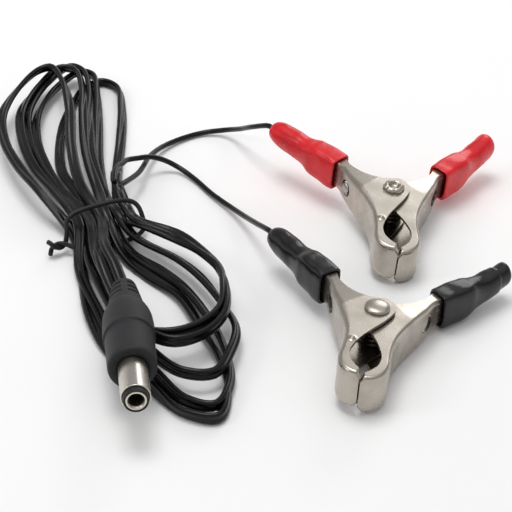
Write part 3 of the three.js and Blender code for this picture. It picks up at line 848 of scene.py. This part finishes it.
sleeve = {
    # distance from the mouth along the handle, half width, half height and squareness of the section
    "mouth": 14.6, "sides": 64, "rows": 110,
    "stations": [(0, 2.5, 3.78, 6), (1, 2.62, 3.82, 5.6), (3, 2.68, 3.8, 5), (5.4, 2.7, 3.78, 4.6),
                 (7.1, 2.7, 3.62, 4), (8.8, 2.48, 3.12, 3.1), (10.6, 2.38, 2.88, 2.7),
                 (12.6, 2.44, 2.94, 2.5)],
    # the inner wall and the lip, in the same way
    "lip": [(6.2, 1.9, 3.28, 7), (3, 1.9, 3.3, 7), (0.5, 1.9, 3.3, 7), (0.05, 1.98, 3.36, 6.5),
            (-0.1, 2.15, 3.5, 6), (-0.1, 2.36, 3.66, 6)],
    "tails": {
        # length back from the tip, half width, half height and squareness
        "tapered": [(3.6, 2.38, 2.72, 2.3), (1.8, 2.26, 2.48, 2.1), (0.8, 1.95, 2.1, 2), (0.25, 1.42, 1.5, 2),
                    (0, 0.85, 0.9, 2)],
        "blunt": [(3.4, 2.5, 2.98, 2.3), (1.5, 2.5, 2.9, 2.2), (0.7, 2.36, 2.66, 2.1), (0.22, 2.02, 2.24, 2),
                  (0, 1.4, 1.5, 2)],
        "stepped": [(4.2, 2.46, 2.86, 2.3), (3.5, 2.42, 2.8, 2.2), (3.15, 2.24, 2.56, 2.1),
                    (2, 2.22, 2.52, 2.1), (0.7, 2.18, 2.46, 2), (0.2, 1.86, 2.08, 2), (0, 1.3, 1.4, 2)],
    },
    # how far each kind's tip bends up
    "lift": {"tapered": 0, "blunt": 1.9, "stepped": 1.9},
    # two slow waves in the wall: height, waves round the sleeve and change of phase along it
    "waves": ((0.012, 2, 0.9), (0.01, 3, -1.3)),
}


def squared(half, turn, power):
    # half a width or height times a cosine or sine that is raised to a power and keeps its sign
    return half * np.sign(turn) * np.abs(turn) ** power


def makeSleeve(name, place, side, body, tail, look, node, seed):
    # from a cap inside the mouth, out along the inner wall, round the lip and along the outside to the tip
    end = clampSize["wireSleeveEnd" if tail == "tapered" else "movingSleeveEnd"]
    mouth = sleeve["mouth"]
    fromMouth = np.array([mouth, 0, 0, 0])
    stations = np.array(sleeve["stations"]) + fromMouth
    tip = np.array(sleeve["tails"][tail]) * np.array([-1, 1, 1, 1]) + np.array([end, 0, 0, 0])
    outer = smoothLine(np.vstack([stations, tip]), sleeve["rows"])
    rows = np.vstack([np.array(sleeve["lip"]) + fromMouth, outer])
    along, power = rows[:, :1], 2 / rows[:, 3:4]
    angle = np.arange(sleeve["sides"]) * 2 * math.pi / sleeve["sides"]
    across = squared(rows[:, 1:2], np.cos(angle), power)
    up = squared(rows[:, 2:3], np.sin(angle), power)
    (high, turns, phase), (highNext, turnsNext, phaseNext) = sleeve["waves"]
    slow = 1 + high * np.sin(angle * turns + along * phase + seed)
    slow = slow + highNext * np.sin(angle * turnsNext + along * phaseNext)
    bent = np.clip((along - mouth) / (end - mouth), 0, 1) ** 2 * sleeve["lift"][tail]
    flat = onHandle(along + np.zeros_like(across), sleeveOffset + across * slow - bent / 2)
    points = side(np.concatenate([flat, (channelMiddle + up * slow)[..., None]], axis=-1))
    points[..., 2] += bent
    piece = surface(name, placed(points, place), wrapColumns=True, capped=True)
    return finishPiece(piece, body, look + "_vinyl", finishes[look + "Vinyl"], node)


rivet = {
    # radius and height: the rolled end under the lower ear, then the shank, then the head from the upper ear
    "rolled": [(0.02, -0.18), (0.7, -0.2), (0.95, -0.42), (1.12, -0.78), (1.4, -0.93), (1.75, -0.88),
               (2.1, -0.62), (2.25, -0.3), (2.15, -0.04), (1.5, -0.04)],
    "head": [(1.5, 0), (2.38, 0), (2.46, 0.16), (2.4, 0.42), (2.1, 0.62), (1.5, 0.76), (0.8, 0.84),
             (0.02, 0.86)],
    "petals": 6, "petalRows": (4, 8), "petalDepth": 0.2, "gap": 0.02, "sides": 72, "sharpFrom": 50,
}


def makeRivet(name, place, side, node):
    # a domed head on the upper ear, a shank, and a rolled and split end on the lower ear
    top = clampSize["height"] + rivet["gap"]
    profile = np.vstack([rivet["rolled"], np.array(rivet["head"]) + np.array([0, top])])
    first, last = rivet["petalRows"]

    def crown(angle, row):
        # the rolled edge is split into petals
        petal = 0.5 + 0.5 * np.cos(angle * rivet["petals"])
        depth = np.where((row >= first) & (row <= last), rivet["petalDepth"], 0.0)
        return -depth * (1 - petal) ** 4

    points = turnedProfile(profile, rivet["sides"], crown)
    piece = surface(name, placed(side(points), place), wrapColumns=True, capped=True)
    piece.data.set_sharp_from_angle(angle=math.radians(rivet["sharpFrom"]))
    return finishPiece(piece, "lead", "nickel_plate", finishes["nickelPlate"], node)


spring = {
    # start and the rest of the last turn in degrees; low is the first coil's height above the lower ear
    "wire": 0.9, "radius": 2.3, "start": 230, "turns": 5, "more": 80, "low": 1.95,
    # where a leg ends: along the handle, outward from it and its height
    "legAt": (13, 1.1), "legHeight": 3.2, "legShares": (0, 0.35, 0.7),
    "coilSamples": 160, "samples": 1400, "step": 0.22, "sides": 12, "blendAt": 2.2, "blendHeight": 4.6,
}


def makeSpring(name, place, node, values):
    # a coil round the rivet whose legs lie along the two handles
    count = values["coilSamples"]
    angle = np.radians(values["start"] + np.linspace(0, values["turns"] * 360 + values["more"], count))
    climb = np.linspace(values["low"], clampSize["height"] - values["low"], count)
    coil = np.column_stack([values["radius"] * np.cos(angle), values["radius"] * np.sin(angle), climb])
    legEnd = np.array([*onHandle(*values["legAt"]), values["legHeight"]])
    leg = legEnd + (coil[0] - legEnd) * np.array(values["legShares"])[:, None]
    otherLeg = turnedOver(leg)[::-1]
    line, _ = evenly(smoothLine(np.vstack([leg, coil[2:-2], otherLeg]), values["samples"]), values["step"])
    rings = carried(line, circle(values["wire"] / 2, values["sides"]), (0, 0, 1))
    piece = surface(name, placed(rings, place), wrapColumns=True, capped=True)
    piece.data.materials.append(finishes["springSteel"])
    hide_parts(node)
    reach, height = values["blendAt"], values["blendHeight"]
    ends = placed(np.array([[-reach, 0, height], [reach, 0, height]]), place)
    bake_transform(piece)
    return piece


solder = {
    # radius, how far it bulges out and in, its two lumps and its rows and columns; it ends short of the poles
    "radius": 1.27, "out": 0.42, "in": 1.25, "lumps": (0.07, 0.05), "rows": 24, "sides": 40, "pole": 1.5,
}


def makeSolder(name, place, middle, node):
    # a flattened ball facing out of the wall's hole, with a slightly lumpy face
    around = np.arange(solder["sides"]) * 2 * math.pi / solder["sides"]
    turn, rise = np.meshgrid(around, np.linspace(-solder["pole"], solder["pole"], solder["rows"]))
    large, small = solder["lumps"]
    lumps = 1 + large * np.sin(3 * turn + 2 * rise) + small * np.sin(5 * turn - 3 * rise)
    outX, outY = clampSize["holeFaces"]
    out, side = np.array([outX, outY, 0]), np.array([-outY, outX, 0])
    flatness = np.where(rise > 0, solder["out"], solder["in"]) * np.sin(rise)
    radius = solder["radius"] * np.cos(rise) * lumps
    points = np.array(middle) + out * flatness[..., None] + side * (radius * np.cos(turn))[..., None]
    points = points + np.array([0, 0, 1]) * (radius * np.sin(turn))[..., None]
    piece = surface(name, placed(points, place), wrapColumns=True, capped=True)
    return finishPiece(piece, "lead", "solder", finishes["solder"], node)


def makeClamp(colour, place, headUp, solderAt, movingTail):
    # two levers and two sleeves, the second ones turned over, with the rivet, the spring and the solder
    jaw = colour + "_jaw"
    makeLever(colour + "WireSideLever", place, same, "lead", colour + "_wire_side_lever")
    makeLever(colour + "MovingLever", place, turnedOver, jaw, colour + "_moving_lever")
    wireSide, moving = colour + "_wire_side_sleeve", colour + "_moving_sleeve"
    makeSleeve(colour + "WireSideSleeve", place, same, "lead", "tapered", colour, wireSide, 1)
    makeSleeve(colour + "MovingSleeve", place, turnedOver, jaw, movingTail, colour, moving, 2)
    makeRivet(colour + "Rivet", place, same if headUp else turnedOver, colour + "_rivet")
    makeSpring(colour + "Spring", place, colour + "_torsion_spring", spring)
    makeSolder(colour + "Solder", place, solderAt, colour + "_solder_joint")
    print(colour, "clamp made")


# the red clamp shows its rolled rivet end and its solder in the hole, the black one its head
makeClamp("red", clamps["red"], False, [*clampSize["hole"], channelMiddle], "blunt")
makeClamp("black", clamps["black"], True, [*onHandle(9.2, 2.4), channelMiddle + 0.3], "stepped")


# the two cores inside the plug stay as the frame has them
for node in ("plug_core_positive", "plug_core_negative"):
    mesh = frame["nodes"][node].data
    mesh.materials.clear()
    mesh.materials.append(finishes["cordVinyl"])


studio = {
    "floorHalf": 3.0, "floorRoughness": 0.9, "mottle": 6, "aim": (-0.03, 0.01, 0), "strength": 1.02,
    # the sky's grey from straight below, at 0, to straight above, at 1
    "sky": [(0, 0.8), (0.26, 0.64), (0.44, 0.32), (0.64, 0.3), (0.82, 0.75), (1, 1)],
    "lights": {
        # place, size, watts
        "overhead": ((-0.1, 0.12, 0.7), 0.3, 1.75),
        "fromLeft": ((-0.6, -0.15, 0.45), 0.2, 0.6),
        "fromBack": ((0.2, 0.6, 0.35), 0.25, 0.6),
    },
}


def makeFloor(values):
    # one flat square, nearly white
    half = values["floorHalf"]
    corners = np.array([[[-half, -half, 0], [half, -half, 0]], [[-half, half, 0], [half, half, 0]]])
    floor = surface("floor", corners, outward=False)
    sheet = newSheet("paleFloor")
    tone = sheet.band(sheet.noise(values["mottle"], 2), 0.2, 0.8)
    colour = sheet.mixed(tone, shade(250, 250, 250), shade(246, 246, 246))
    floor.data.materials.append(sheet.finish(Base_Color=colour, Roughness=values["floorRoughness"]))


def makeSky(values):
    # its grey follows the height of the direction looked at
    world = bpy.data.worlds.new("studio")
    sky = Sheet(world, "Generated")
    height = sky.add("ShaderNodeSeparateXYZ", {}, {"Vector": sky.place}, "Z")
    grey = sky.add("ShaderNodeValToRGB", {"stops": values["sky"]}, {"Fac": height})
    background = sky.add("ShaderNodeBackground", {}, {"Color": grey, "Strength": values["strength"]})
    sky.close(background, "ShaderNodeOutputWorld")
    bpy.context.scene.world = world


def makeLights(values):
    # square lights, each turned to the aim
    for name, (place, size, watts) in values["lights"].items():
        light = bpy.data.lights.new(name, "AREA")
        light.size = size
        light.energy = watts
        holder = bpy.data.objects.new(name, light)
        holder.location = place
        holder.rotation_mode = "QUATERNION"
        holder.rotation_quaternion = (Vector(values["aim"]) - Vector(place)).to_track_quat("-Z", "Y")
        bpy.context.scene.collection.objects.link(holder)


makeFloor(studio)
makeSky(studio)
makeLights(studio)
print("floor, sky and lights made")
bpy.context.scene.view_settings.view_transform = "Standard"
